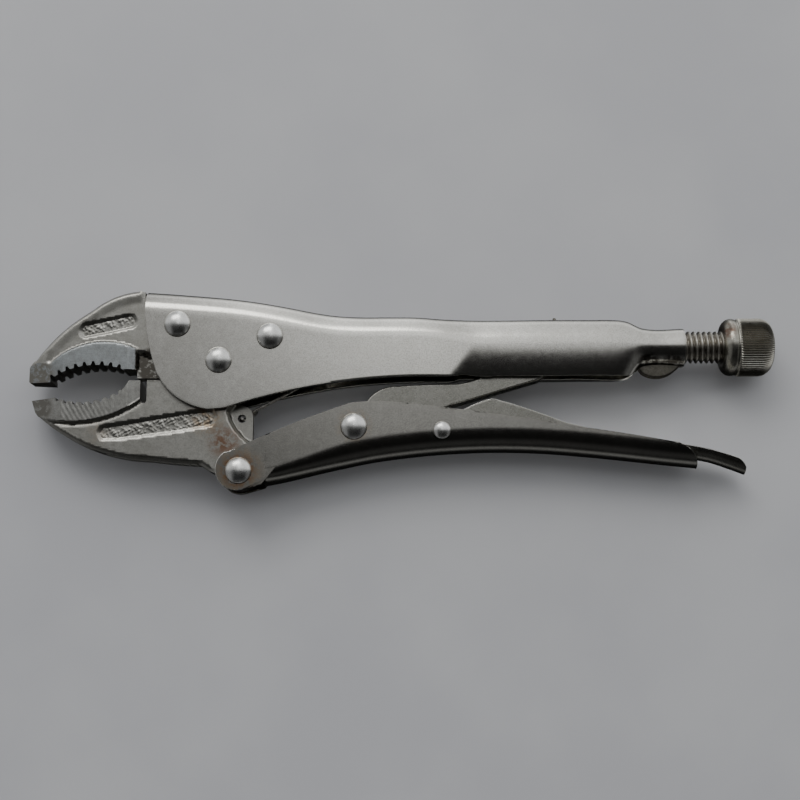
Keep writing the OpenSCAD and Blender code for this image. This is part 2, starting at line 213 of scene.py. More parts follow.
def new_object(name, verts, faces, body, nodes=(), mats=(), mat_index=None,
               bevel=None, smooth_angle=40, weights=None, keep_sharp=False, bevel_slot=-1):
    """A mesh in design millimetres becomes a piece that rides a body.
    bevel = (width, segments), along the edges in weights or else along every corner."""
    me = bpy.data.meshes.new(name)
    v = (np.array(verts, float) + PIN) * MM
    me.from_pydata(v.tolist(), [], [list(map(int, f)) for f in faces])
    me.update()
    for m in mats:
        me.materials.append(m)
    if mat_index is not None:
        me.polygons.foreach_set("material_index", np.array(mat_index, np.int32))
    me.polygons.foreach_set("use_smooth", np.ones(len(me.polygons), bool))
    me.set_sharp_from_angle(angle=math.radians(smooth_angle))
    ob = bpy.data.objects.new(name, me)
    bpy.context.scene.collection.objects.link(ob)
    if weights is not None:
        att = me.attributes.new("bevel_weight_edge", "FLOAT", "EDGE")
        values = np.zeros(len(me.edges), np.float32)
        key = {frozenset(e.vertices): e.index for e in me.edges}
        for e in weights:
            k = key.get(frozenset(map(int, e)))
            if k is not None:
                values[k] = 1.0
                if keep_sharp:
                    me.edges[k].use_edge_sharp = False
        att.data.foreach_set("value", values)
    if bevel:
        width, segs = bevel
        b = ob.modifiers.new("edge", "BEVEL")
        b.width = width * MM
        b.segments = segs
        b.material = bevel_slot
        b.use_clamp_overlap = True
        if weights is not None:
            b.limit_method = "WEIGHT"
        else:
            b.limit_method = "ANGLE"
            b.angle_limit = math.radians(50)
        b.harden_normals = False
        w = ob.modifiers.new("normals", "WEIGHTED_NORMAL")
        w.keep_sharp = keep_sharp
        w.weight = 50
    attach(ob, body)
    if nodes:
        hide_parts(*nodes)
    return ob


def grid_faces(nu, nv, wrap_v=False, start=0, flip=False):
    """Quads between nu rows of nv points."""
    f = []
    for i in range(nu - 1):
        for j in range(nv if wrap_v else nv - 1):
            k = (j + 1) % nv
            q = [start + i * nv + j, start + i * nv + k,
                 start + (i + 1) * nv + k, start + (i + 1) * nv + j]
            f.append(q[::-1] if flip else q)
    return f


def half_section(s, n):
    """Section of a channel from its crown round to its edge: y and z, n points, equally spaced.
    s = crown, top centre, side end, lip radius, half width, lip angle, cut."""
    crown, top, side, lip, w, ang, cut = s
    side = min(side, top - 0.1)
    th = np.linspace(np.pi / 2, 0, 50)
    y = list(top + (crown - top) * np.sin(th))
    z = list(w * np.cos(th))
    for k in np.linspace(0, 1, 30)[1:]:
        y.append(top + (side - top) * k)
        z.append(w)
    for k in np.linspace(0, math.radians(ang), 40)[1:]:
        y.append(side - lip * math.sin(k))
        z.append(w * math.cos(k))
    y, z = np.array(y), np.array(z)
    if cut is not None and y.min() < cut:
        i = int(np.argmax(y < cut))
        t = (y[i - 1] - cut) / (y[i - 1] - y[i])
        z = np.append(z[:i], z[i - 1] + t * (z[i] - z[i - 1]))
        y = np.append(y[:i], cut)
    s = np.concatenate([[0], np.cumsum(np.hypot(np.diff(y), np.diff(z)))])
    u = np.linspace(0, s[-1], n)
    return np.interp(u, s, y), np.interp(u, s, z)


def channel(xs, stations, cut, thick, n, shift=None, flip_y=False):
    """Both skins of a pressed channel and the rims that join them."""
    outer, inner = [], []
    for x in xs:
        y, z = half_section(list(hermite(stations, x)) + [cut(x)], n)
        t = thick(x)
        dy, dz = np.gradient(y), np.gradient(z)
        length = np.hypot(dy, dz) + 1e-12
        ny, nz = dz / length, -dy / length
        ny[0], nz[0] = 1, 0
        yi, zi = y - ny * t, z - nz * t
        zi[0] = 0
        for rows, yy, zz in ((outer, y, z), (inner, yi, zi)):
            yf = np.concatenate([yy[::-1], yy[1:]])
            zf = np.concatenate([-zz[::-1], zz[1:]])
            xf = np.full(len(yf), x)
            if shift is not None:
                yo = np.concatenate([y[::-1], y[1:]])
                xf = xf + shift(x, yo)
            rows.append(np.stack([xf, -yf if flip_y else yf, zf], 1))
    nu, nv = len(xs), 2 * n - 1
    verts = np.concatenate([np.concatenate(outer), np.concatenate(inner)])
    base = nu * nv
    faces = grid_faces(nu, nv, flip=flip_y) + grid_faces(nu, nv, start=base, flip=not flip_y)
    rims = []

    def rim(a, b, rev):
        q = [a, b, b + base, a + base]
        faces.append(q if rev else q[::-1])
        rims.append((a, b))
        rims.append((a + base, b + base))

    for i in range(nu - 1):
        rim(i * nv, (i + 1) * nv, not flip_y)
        rim(i * nv + nv - 1, (i + 1) * nv + nv - 1, flip_y)
    for j in range(nv - 1):
        rim(j, j + 1, flip_y)
        rim((nu - 1) * nv + j, (nu - 1) * nv + j + 1, not flip_y)
    return verts, faces, rims


def new_channel(name, node, body, skin, bevel, parts, bevel_slot=-1):
    """A channel's skins take the skin material, and its rims the sheared one."""
    verts, faces, rims = parts
    n_rim = len(rims) // 2
    idx = [0] * (len(faces) - n_rim) + [1] * n_rim
    new_object(name, verts, faces, body, [node], [skin, sheared], idx, bevel=bevel,
               weights=rims, bevel_slot=bevel_slot)


def prism(outline, z0, z1):
    """Flat plate between two heights."""
    o = np.array(outline, float)
    area = 0.5 * np.sum(o[:, 0] * np.roll(o[:, 1], -1) - np.roll(o[:, 0], -1) * o[:, 1])
    if area < 0:
        o = o[::-1]
    n = len(o)
    verts = np.concatenate([np.column_stack([o, np.full(n, z0)]),
                            np.column_stack([o, np.full(n, z1)])])
    faces = [list(range(n))[::-1], [n + i for i in range(n)]]
    faces += [[i, (i + 1) % n, n + (i + 1) % n, n + i] for i in range(n)]
    return verts, faces


def relief(outline, lines, height, steps, holes=()):
    """A forging that is the same on both sides: z = +-height(x, y) inside the outline.
    lines are feature lines that the mesh follows, steps gives the lattice spacing at a point."""
    border = np.array(outline, float)
    coords, edges = [], []

    def add(line, closed):
        k = len(coords)
        coords.extend(line)
        m = len(line)
        edges.extend((k + i, k + (i + 1) % m) for i in range(m if closed else m - 1))

    add(border, True)
    for h in holes:
        add(h, True)
    for line, closed in lines:
        add(line, closed)
    lo, hi = border.min(0), border.max(0)
    lattice = []
    for region, step in steps:
        x = np.arange(lo[0], hi[0], step)
        y = np.arange(lo[1], hi[1], step * 0.866)
        gx, gy = np.meshgrid(x, y)
        gx = gx + (np.arange(len(y)) % 2)[:, None] * step / 2
        p = np.stack([gx.ravel(), gy.ravel()], 1)
        p = p[inside(border, p)]
        p = p[region(p)]
        keep = distance(border, p) > 0.6 * step
        p = p[keep]
        for line, closed in list(lines) + [(h, True) for h in holes]:
            box_lo, box_hi = np.min(line, 0) - 2, np.max(line, 0) + 2
            near = np.all((p > box_lo) & (p < box_hi), 1)
            d = np.full(len(p), 1e9)
            if near.any():
                d[near] = distance(line, p[near], closed)
            p = p[d > 0.5 * step]
        lattice.append(p)
    for p in lattice:
        coords.extend(p)
    res = geometry.delaunay_2d_cdt([Vector(c) for c in coords], edges, [], 0, 1e-4, False)
    v2 = np.array([tuple(c) for c in res[0]])
    tris = np.array([f for f in res[2] if len(f) == 3])
    mid = v2[tris].mean(1)
    keep = inside(border, mid)
    for h in holes:
        keep &= ~inside(h, mid)
    tris = tris[keep]
    a, b, c = v2[tris[:, 0]], v2[tris[:, 1]], v2[tris[:, 2]]
    area = (b[:, 0] - a[:, 0]) * (c[:, 1] - a[:, 1]) - (b[:, 1] - a[:, 1]) * (c[:, 0] - a[:, 0])
    tris = tris[np.abs(area) > 1e-7]
    area = area[np.abs(area) > 1e-7]
    tris[area < 0] = tris[area < 0][:, ::-1]
    used = np.unique(tris)
    remap = np.full(len(v2), -1)
    remap[used] = np.arange(len(used))
    v2, tris = v2[used], remap[tris]
    n = len(v2)
    h = height(v2)
    verts = np.concatenate([np.column_stack([v2, h]), np.column_stack([v2, -h])])
    faces = [list(t) for t in tris] + [[t[2] + n, t[1] + n, t[0] + n] for t in tris]
    seen = {}
    for t in tris:
        for e in ((t[0], t[1]), (t[1], t[2]), (t[2], t[0])):
            seen[e] = seen.get(e, 0) + 1
    rim = [e for e in seen if (e[1], e[0]) not in seen]
    walls = [[e[1], e[0], e[0] + n, e[1] + n] for e in rim]
    # the bevel is only for the parts of the rim that are thick
    marks = [e for e in rim if min(h[e[0]], h[e[1]]) > 1.3]
    marks += [(a + n, b + n) for a, b in marks]
    return verts, faces + walls, marks, len(tris), v2


def revolve(profile, n, axis="z", at=(0, 0), ripple=None):
    """Turns (radius, height) points about Z through at, or about X through y = at[0].
    ripple(height, angle) is cut off the radius."""
    prof = np.array(profile, float)
    ang = np.linspace(0, 2 * np.pi, n, endpoint=False)
    rings = []
    for r, h in prof:
        rr = np.full(n, r) if ripple is None else r - ripple(h, ang)
        a, b = rr * np.cos(ang), rr * np.sin(ang)
        hh = np.full(n, h)
        rings.append(np.stack([a + at[0], b + at[1], hh], 1) if axis == "z"
                     else np.stack([hh, a + at[0], b], 1))
    verts = np.concatenate(rings)
    m = len(prof)
    faces = grid_faces(m, n, wrap_v=True)
    faces.append(list(range(n))[::-1])
    faces.append([(m - 1) * n + i for i in range(n)])
    if (prof[-1][1] - prof[0][1]) < 0:
        faces = [f[::-1] for f in faces]
    return verts, faces


def tube(path, radius, n=10):
    """A round wire along a path, with closed ends."""
    p = np.array(path, float)
    t = np.gradient(p, axis=0)
    t /= np.linalg.norm(t, axis=1)[:, None]
    ref = np.array([0, 0, 1.0]) if abs(t[0][2]) < 0.9 else np.array([1.0, 0, 0])
    u = np.cross(t[0], ref)
    u /= np.linalg.norm(u)
    rings = []
    ang = np.linspace(0, 2 * np.pi, n, endpoint=False)
    for i in range(len(p)):
        u = u - (u @ t[i]) * t[i]
        u /= np.linalg.norm(u)
        w = np.cross(t[i], u)
        rings.append(p[i] + radius * (np.outer(np.cos(ang), u) + np.outer(np.sin(ang), w)))
    faces = grid_faces(len(p), n, wrap_v=True)
    faces.append(list(range(n))[::-1])
    faces.append([(len(p) - 1) * n + i for i in range(n)])
    return np.concatenate(rings), faces


# --------------------------------------------------------------- materials


class Nodes:
    """Short calls for building a node material."""

    def __init__(self, name):
        self.mat = bpy.data.materials.new(name)
        self.mat.use_nodes = True
        self.tree = self.mat.node_tree
        self.bsdf = next(n for n in self.tree.nodes if n.type == "BSDF_PRINCIPLED")
        self.coord = self.add("ShaderNodeTexCoord").outputs["Object"]

    def add(self, kind, **inputs):
        node = self.tree.nodes.new(kind)
        for k, v in inputs.items():
            self.put(node.inputs[k], v)
        return node

    def put(self, socket, v):
        if isinstance(v, bpy.types.NodeSocket):
            self.tree.links.new(v, socket)
        else:
            socket.default_value = v

    def scaled(self, sx, sy, sz, turn=0.0):
        m = self.add("ShaderNodeMapping")
        self.tree.links.new(self.coord, m.inputs["Vector"])
        m.inputs["Scale"].default_value = (sx * 1000, sy * 1000, sz * 1000)
        m.inputs["Rotation"].default_value = (0, 0, math.radians(turn))
        return m.outputs["Vector"]

    def noise(self, per_mm, detail=3.0, rough=0.55, stretch=(1, 1, 1), turn=0.0, distort=0.0):
        n = self.add("ShaderNodeTexNoise", Scale=1.0, Detail=detail, Roughness=rough,
                     Distortion=distort)
        v = self.scaled(per_mm * stretch[0], per_mm * stretch[1], per_mm * stretch[2], turn)
        self.tree.links.new(v, n.inputs["Vector"])
        return n.outputs["Fac"]

    def span(self, value, a, b, lo=0.0, hi=1.0):
        n = self.add("ShaderNodeMapRange")
        n.interpolation_type = "SMOOTHSTEP"
        self.put(n.inputs["Value"], value)
        for k, v in (("From Min", a), ("From Max", b), ("To Min", lo), ("To Max", hi)):
            n.inputs[k].default_value = v
        return n.outputs["Result"]

    def math(self, op, a, b=0.0, clamp=False):
        n = self.add("ShaderNodeMath")
        n.operation = op
        n.use_clamp = clamp
        self.put(n.inputs[0], a)
        self.put(n.inputs[1], b)
        return n.outputs[0]

    def mix(self, fac, a, b):
        n = self.add("ShaderNodeMix")
        n.data_type = "RGBA"
        for key, v in (("Factor_Float", fac), ("A_Color", a), ("B_Color", b)):
            s = next(i for i in n.inputs if i.identifier == key)
            if not isinstance(v, bpy.types.NodeSocket) and not np.isscalar(v):
                v = (*v, 1.0)
            self.put(s, v)
        return next(o for o in n.outputs if o.identifier == "Result_Color")

    def near(self, point, r0, r1):
        """1 inside r0 of a point given in millimetres (x, y), 0 beyond r1."""
        n = self.add("ShaderNodeVectorMath")
        n.operation = "MULTIPLY"
        self.tree.links.new(self.coord, n.inputs[0])
        n.inputs[1].default_value = (1, 1, 0)
        d = self.add("ShaderNodeVectorMath")
        d.operation = "DISTANCE"
        self.tree.links.new(n.outputs[0], d.inputs[0])
        d.inputs[1].default_value = ((point[0] + PIN[0]) * MM, (point[1] + PIN[1]) * MM, 0)
        return self.span(d.outputs["Value"], r0 * MM, r1 * MM, 1.0, 0.0)

    def crevice(self, dist=1.5):
        n = self.add("ShaderNodeAmbientOcclusion")
        n.samples = 8
        n.inputs["Distance"].default_value = dist * MM
        return n.outputs["AO"]

    def bump(self, parts):
        """parts = [(height socket, depth in mm), ...]"""
        last = None
        for h, depth in parts:
            b = self.add("ShaderNodeBump")
            b.inputs["Strength"].default_value = 1.0
            b.inputs["Distance"].default_value = depth * MM
            self.tree.links.new(h, b.inputs["Height"])
            if last is not None:
                self.tree.links.new(last, b.inputs["Normal"])
            last = b.outputs["Normal"]
        self.tree.links.new(last, self.bsdf.inputs["Normal"])


def steel(name, base, dark, rough, grain=0.010, blotch=0.5, stains_and_shade=(), streak=None,
          crevice=(1.4, 0.55), pits=0.25):
    """Plated steel: tone blotches, fine blasted grain, painted shade with dirt in the corners, brown stains
    and patches of painted shade.
    rust = [(place, full radius, outer radius, amount, colour), ...], crevice = (reach, amount),
    streak = (x scale, y scale, turn in degrees, depth)."""
    n = Nodes(name)
    big = n.noise(0.09, 4, 0.6)
    mid = n.noise(0.55, 4, 0.65)
    fine = n.noise(2.6, 3, 0.6)
    speck = n.noise(1.3, 2, 0.5, distort=0.4)
    tone = n.math("ADD", n.math("MULTIPLY", big, 0.45), n.math("MULTIPLY", mid, 0.55))
    fac = n.span(tone, 0.36, 0.64, 0.5 - blotch * 0.5, 0.5 + blotch * 0.5)
    color = n.mix(fac, dark, base)
    color = n.mix(n.span(fine, 0.40, 0.66, 0.0, 0.34), color, tuple(0.55 * c for c in dark))
    dots = n.span(speck, 0.66, 0.78, 0.0, pits)
    color = n.mix(dots, color, tuple(0.5 * c for c in dark))
    # Painted shade: an ambient occlusion mask darkens the colour in corners and crevices, standing for
    # their shade together with dirt.
    ao = n.crevice(crevice[0])
    crevice_shade_and_dirt = n.span(ao, 0.35, 0.85, crevice[1], 0.0)
    crevice_shade_and_dirt = n.math("MULTIPLY", crevice_shade_and_dirt, n.span(mid, 0.25, 0.6, 0.6, 1.0))
    color = n.mix(crevice_shade_and_dirt, color, (0.085, 0.066, 0.048))
    # Patches round given points: brown stains, and dark tints laid as painted shade.
    for point, r0, r1, amount, tint in stains_and_shade:
        m = n.near(point, r0, r1)
        m = n.math("MULTIPLY", m, n.span(mid, 0.36, 0.58, 0.0, amount))
        color = n.mix(m, color, tint)
    n.put(n.bsdf.inputs["Base Color"], color)
    n.bsdf.inputs["Metallic"].default_value = 1.0
    r = n.span(n.math("ADD", n.math("MULTIPLY", mid, 0.5), n.math("MULTIPLY", fine, 0.5)),
               0.3, 0.7, rough - 0.03, rough + 0.03)
    r = n.math("ADD", r, n.math("MULTIPLY", crevice_shade_and_dirt, 0.12), clamp=True)
    n.put(n.bsdf.inputs["Roughness"], r)
    heights = [(fine, grain), (mid, grain * 0.7)]
    if streak is not None:
        sx, sy, turn, depth = streak
        lines = n.noise(1.0, 2, 0.6, stretch=(sx, sy, 1), turn=turn)
        heights.append((lines, depth))
    n.bump(heights)
    return n.mat


RUST = (0.20, 0.085, 0.035)
TAN = (0.33, 0.24, 0.15)
# A dark tint for patches of painted shade in shadowed recesses.
PAINTED_SHADE = (0.12, 0.11, 0.095)
# The two dark patches at x 143 and 151 by the seam lips are painted shade for the dark underside of the
# tube; the tan patch round the toggle pin is a stain.
nickel = steel("satin_nickel", (0.68, 0.665, 0.62), (0.53, 0.515, 0.47), 0.20, 0.0018,
               stains_and_shade=[(toggle_pin, 4.4, 7.5, 0.25, TAN), ((143, -1.0), 1.5, 5.0, 2.0, PAINTED_SHADE),
                     ((151, -1.0), 1.5, 5.0, 2.0, PAINTED_SHADE)])
# The lower handle takes a darker copy of the same satin nickel: painted shade. Its rust and tan patches
# round the pins are stains.
nickel_lower_shaded = steel("satin_nickel_lower", (0.38, 0.37, 0.34), (0.28, 0.27, 0.245), 0.22, 0.004,
                     stains_and_shade=[(handle_pin, 4.2, 6.6, 0.95, RUST), (handle_pin, 5.5, 10.0, 0.5, TAN),
                           (toggle_pin, 4.4, 7.0, 0.3, TAN)])
# The dark patch round (-22, -1) on the cutter recess is painted shade; the tan and brown patches are
# stains.
forged = steel("forged_steel", (0.50, 0.49, 0.455), (0.36, 0.35, 0.315), 0.32, 0.022, 0.7,
               stains_and_shade=[((-4, -19), 2.0, 8.0, 0.75, TAN), ((2.2, -27), 1.5, 7.5, 0.8, RUST),
                     ((-40, -24), 1.0, 6.0, 0.3, TAN), ((-22, -1), 4.0, 6.5, 3.0, PAINTED_SHADE)], pits=0.4)
# The darker patch at the tip of the upper pad is painted shade for the slanted tip.
ground = steel("ground_pad", (0.42, 0.445, 0.455), (0.30, 0.31, 0.305), 0.36, 0.010, 0.9,
               streak=(0.10, 3.2, 8, 0.014), pits=0.3,
               stains_and_shade=[((-61, -4.5), 2.0, 9.0, 1.6, (0.22, 0.21, 0.185))])
# The darker patch at the tip of the lower pad is painted shade for the slanted tip.
striated = steel("striated_pad", (0.44, 0.435, 0.41), (0.30, 0.295, 0.275), 0.36, 0.014, 0.8,
                 streak=(1.1, 0.10, 33, 0.05), pits=0.4,
                 stains_and_shade=[((-60, -15.5), 2.0, 6.5, 2.0, (0.20, 0.19, 0.17))])
tooth = steel("tooth_steel", (0.38, 0.37, 0.35), (0.20, 0.195, 0.18), 0.45, 0.02, 0.8, pits=0.5)
sheared = steel("sheared_edge", (0.95, 0.94, 0.90), (0.80, 0.79, 0.75), 0.24, 0.008, 0.6,
                streak=(2.5, 2.5, 0, 0.01))
dull = steel("dull_steel", (0.36, 0.35, 0.32), (0.255, 0.25, 0.22), 0.28, 0.010, 0.7)
screw_mat = steel("screw_steel", (0.62, 0.60, 0.55), (0.34, 0.32, 0.28), 0.30, 0.010, 0.8,
                  crevice=(1.0, 0.9))
knob_mat = steel("knob_steel", (0.52, 0.505, 0.45), (0.33, 0.315, 0.27), 0.29, 0.010, 0.8,
                 stains_and_shade=[((168.5, screw_y + 4.5), 1.5, 4.5, 0.8, (0.13, 0.06, 0.035))], crevice=(0.8, 0.9))
rivet_mat = steel("rivet_nickel", (0.88, 0.875, 0.85), (0.74, 0.735, 0.705), 0.28, 0.003, 0.6,
                  crevice=(1.7, 0.85))
# Very dark steel; on the upper handle's seam lips it is painted shade for their shaded underside.
shade_oxide = steel("dark_oxide", (0.17, 0.16, 0.14), (0.09, 0.085, 0.07), 0.42, 0.012, 0.8)
wire_mat = steel("spring_wire", (0.72, 0.70, 0.66), (0.50, 0.48, 0.44), 0.28, 0.006, 0.7)

# ------------------------------------------------------------ upper handle

# Sections along a handle: x, crown, top centre, side end, lip radius, half width, lip angle.
UPPER = [
    [-27, 24.7, 17.2, -18, 7.5, SHELL, 4],
    [-16, 24.1, 16.6, -18, 7.5, SHELL, 4],
    [-6, 23.2, 15.7, -18, 7.5, SHELL, 4],
    [4, 22.1, 14.6, -18, 7.5, SHELL, 4],
    [14, 20.7, 13.2, -18, 7.5, SHELL, 4],
    [24, 18.9, 11.4, -16, 7.5, SHELL, 4],
    [32, 17.3, 9.8, -14, 7.5, SHELL, 4],
    [38, 16.4, 8.9, -12, 7.5, SHELL, 4],
    [46, 15.9, 8.4, -12, 7.5, SHELL, 4],
    [56, 15.9, 8.4, -10, 7.5, SHELL, 4],
    [66, 15.8, 8.3, -9, 7.5, SHELL, 4],
    [74, 15.2, 7.7, -8, 7.5, SHELL, 4],
    [78, 15, 6.9, -3, 11, SHELL, 14],
    [84, 14.8, 5.7, 5, 18.5, SHELL, 33],
    [94, 14.8, 5.7, 5, 18.5, SHELL, 33],
    [110, 15, 5.7, 5, 18.5, SHELL, 33],
    [124, 15, 5.7, 5, 18, SHELL, 33.5],
    [131, 15, 5.7, 5, 17.2, SHELL, 35.5],
    [134.5, 14.8, 5.7, 5, 14.8, SHELL - 0.1, 42],
    [137, 14.2, 5.7, 5.1, 11.6, SHELL - 0.35, 55],
    [139, 13.2, 5.7, 5.3, 8.8, SHELL - 0.75, 69],
    [140.8, screw_y + 6.6, screw_y, 5.5, 7.1, 6.5, 79],
    [142.2, screw_y + 6.3, screw_y, 5.6, 6.8, 6.3, 80],
    [156, screw_y + 6.3, screw_y, 5.6, 6.8, 6.3, 80],
]
FRONT = np.array(bow((-24.7, 25), (-20.1, -5.1), -1.7, 30))
UPPER_CUT = pts(bow((-20.1, -5.1), (-3, -16.5), -2.5, 20), (2, -16),
                bow((2, -16), (66.7, -5.2), 2.5, 30), (80, -5.3), (200, -5.4))
FRONT_Y, FRONT_X = FRONT[::-1, 1], FRONT[::-1, 0]


def upper_shift(x, y):
    """Leans the sections near the front so that the first one follows the front edge."""
    fade = 1 - ramp(x, -20.1, 8.0)
    return (np.interp(y, FRONT_Y, FRONT_X) + 20.1) * fade


def upper_cut(x):
    return float(np.interp(x, UPPER_CUT[:, 0], UPPER_CUT[:, 1]))


def upper_thick(x):
    return SHEET - (SHEET - 0.85) * float(ramp(x, 118, 140))


xs = np.concatenate([np.linspace(-20.1, -19.0, 6), np.linspace(-18.4, 155.2, 230)])
new_channel("upper_handle_shell", "upper_handle", "frame", nickel, (0.3, 3),
            channel(xs, UPPER, upper_cut, upper_thick, 40, upper_shift))

KEEL = pts((139, 0.6), (140, -2.0), bow((141, -3.4), (146.5, -4.9), -0.5, 6),
           bow((147, -4.9), (152.5, -2.2), -0.5, 6), (154, -0.9), (154, 0.6))
LIP_THICK = 1.3
# The seam lips take this dark material as painted shade for their shaded underside.
for side, z0 in (("near", 0.4), ("far", -1.7)):
    verts, faces = prism(KEEL, z0, z0 + LIP_THICK)
    new_object("upper_handle_lip_" + side, verts, faces, "frame", (), [shade_oxide], None,
               bevel=(0.6, 4))
NUB_X = 112.2
nub = [(0.02, 15.9), (0.4, 15.75), (0.62, 15.3), (0.7, 14.5)]
verts, faces = revolve(nub, 20)
verts = np.stack([verts[:, 0] + NUB_X, verts[:, 2], -verts[:, 1]], 1)
new_object("upper_handle_weld_nub", verts, faces, "frame", (), [shade_oxide], None)

# ------------------------------------------------------------ lower handle

EAR_C, EAR_R = (6.6, -36.3), 7.0
LOWER_TOP = pts(bow((4.2, -30.3), (43, -14.6), 0.7, 12), bow((43.8, -14.3), (60, -14.2), 0.45, 10),
                bow((60.5, -14.25), (119, -22.2), 0.5, 20), bow((119.5, -22.3), (149.0, -27.0), 0.2, 8),
                bow((149.2, -27.1), (158.4, -35.6), 2.4, 20))
LOWER = [
    [15.5, 41.2, 36.8, 16, 7.5, SHELL, 4],
    [20, 40.4, 35.5, 16, 7.5, SHELL, 4],
    [27, 38.8, 33.1, 14, 7.5, SHELL, 4],
    [34, 37.1, 30.5, 12, 7.5, SHELL, 4],
    [42, 35.3, 27.8, 10, 7.5, SHELL, 4],
    [52, 33.3, 25.8, 10, 7.5, SHELL, 4],
    [62, 31.9, 24.4, 10, 7.5, SHELL, 4],
    [76, 30.6, 23.1, 10, 7.5, SHELL, 4],
    [92, 30, 22.5, 12, 7.5, SHELL, 4],
    [108, 30.4, 22.9, 14, 7.5, SHELL, 4],
    [122, 31.5, 24, 16, 7.5, SHELL, 4],
    [134, 32.7, 25.2, 18, 7.5, SHELL, 4],
    [146, 34, 26.5, 20, 7.5, SHELL, 4],
    [160, 35.4, 27.9, 22, 7.5, SHELL, 4],
]


def flipped(table):
    """Stations of a channel turned over, whose sides run straight to the cut."""
    return [[s[0], s[1], s[2], s[2] - 60, s[4], s[5], 0.0] for s in table]


def lower_cut(x):
    return -float(np.interp(x, LOWER_TOP[:, 0], LOWER_TOP[:, 1]))


tail = [155.6, 156.4, 157.0, 157.5, 157.9, 158.15, 158.3, 158.38]
xs = np.concatenate([np.linspace(15.5, 149, 180), np.linspace(149.6, 155, 12), tail])
new_channel("lower_handle_shell", "lower_handle", "lower_handle", nickel_lower_shaded,
            (0.45, 3), channel(xs, flipped(LOWER), lower_cut, lambda x: SHEET, 34, flip_y=True), 1)
ear_top = dense(pts((4.2, -30.3), (15.9, float(-lower_cut(15.9)))), 2.0, closed=False)
ear = pts(arc(EAR_C, EAR_R, 290, 128, 40), list(ear_top),
          [(15.9, -36.2), (19.3, -35.6), (18.2, -37.0), (16.3, -39.4), (14.8, -41.2)])
for side, z0 in (("near", SHELL - SHEET), ("far", -SHELL - 0.02)):
    verts, faces = prism(ear, z0, z0 + SHEET + 0.02)
    m = len(verts) // 2
    out = np.abs(np.hypot(verts[:, 0] - EAR_C[0], verts[:, 1] - EAR_C[1]) - EAR_R) < 0.03
    top_y = np.interp(verts[:, 0], LOWER_TOP[:, 0], LOWER_TOP[:, 1])
    out |= (verts[:, 1] > top_y - 0.05) & (verts[:, 0] < 15.8)
    rim = [(k, (k + 1) % m) for k in range(m) if out[k] and out[(k + 1) % m]]
    rim += [(a + m, b + m) for a, b in rim]
    new_object("lower_handle_ear_" + side, verts, faces, "lower_handle", (),
               [nickel_lower_shaded, sheared], None, bevel=(0.4, 3), weights=rim,
               keep_sharp=True, bevel_slot=1)

# ------------------------------------------------------------ release lever

LEVER_TOP = pts((70.2, -20.6), (72, -19.6), (79, -17), bow((81.9, -15.8), (90.5, -12.5), 0.3, 10),
                bow((91.2, -12.5), (114.6, -20.4), 0.4, 12), (130, -24.1), (145, -26.8),
                bow((150, -27.3), (171.6, -32.2), 0.7, 16), bow((171.8, -32.3), (174.6, -38.2), 0.9, 14))
LEVER_HALF, LEVER_SHEET = 4.8, 1.8
LEVER = [
    [69, 28, 23.2, 8, 4.8, LEVER_HALF, 4],
    [76, 27.5, 22.7, 8, 4.8, LEVER_HALF, 4],
    [92, 27.1, 22.3, 8, 4.8, LEVER_HALF, 4],
    [108, 27.5, 22.7, 10, 4.8, LEVER_HALF, 4],
    [122, 28.6, 23.8, 12, 4.8, LEVER_HALF, 4],
    [134, 29.8, 25, 14, 4.8, LEVER_HALF, 4],
    [146, 31.1, 26.3, 16, 4.8, LEVER_HALF, 4],
    [157, 32.2, 27.4, 18, 4.8, LEVER_HALF, 4],
    [163, 33.4, 28.6, 20, 4.8, LEVER_HALF, 4],
    [169, 35.4, 30.6, 22, 4.8, LEVER_HALF, 4],
    [176, 38, 33.2, 24, 4.8, LEVER_HALF, 4],
]


def lever_cut(x):
    return -float(np.interp(x, LEVER_TOP[:, 0], LEVER_TOP[:, 1]))


xs = np.concatenate([np.linspace(70.2, 170, 130), np.linspace(170.6, 174.2, 16)])
new_channel("release_lever_channel", "release_lever", "release_lever", dull,
            (0.35, 3), channel(xs, flipped(LEVER), lever_cut, lambda x: LEVER_SHEET, 26, flip_y=True), 1)

# -------------------------------------------------------------- toggle link

LINK = pts(arc(toggle_pin, 6.3, 280, 104, 24), bow((48, -14.8), (60, -8.1), 2.1, 16),
           bow((61, -7.9), (80, -7.3), 0.15, 6), bow((81, -7.1), (86.5, -5.3), -0.2, 5),
           (99, -0.6), (104, 4), arc((111.6, 4.7), 3.9, 140, -60, 20), (106.6, -5.9), (100, -7.8),
           bow((93, -9.9), (76.7, -14.7), 0.1, 4), bow((72, -16.6), (56, -24), 0.3, 6))
verts, faces = prism(LINK, -3.8, 3.8)
new_object("toggle_link_bar", verts, faces, "toggle_link", ["toggle_link"], [dull], None,
           bevel=(0.5, 3))

# --------------------------------------------------------------------- jaws


def tip_limit(p):
    """The jaws taper in thickness towards their tips."""
    return np.where(p[:, 0] < -52, 3.2 + (p[:, 0] - jaw_tip_x) * 3.0 / (-52 - jaw_tip_x), 99.0)


def zigzag(c, r, first, count, pitch, deep, a_start, a_end):
    """Teeth along an arc about c, from angle a_start to a_end."""
    step = math.degrees(pitch / r)
    out = []
    grooves = [first + i * step for i in range(count)]
    for g in grooves:
        for a, rr in ((g - step * 0.27, r), (g - step * 0.11, r + deep), (g + step * 0.11, r + deep),
                      (g + step * 0.27, r)):
            out.append((a, rr))
    out = [(a_start, r)] + [q for q in sorted(out) if a_start < q[0] < a_end] + [(a_end, r)]
    return [np.array(c) + rr * np.array([math.cos(math.radians(a)), math.sin(math.radians(a))])
            for a, rr in out]



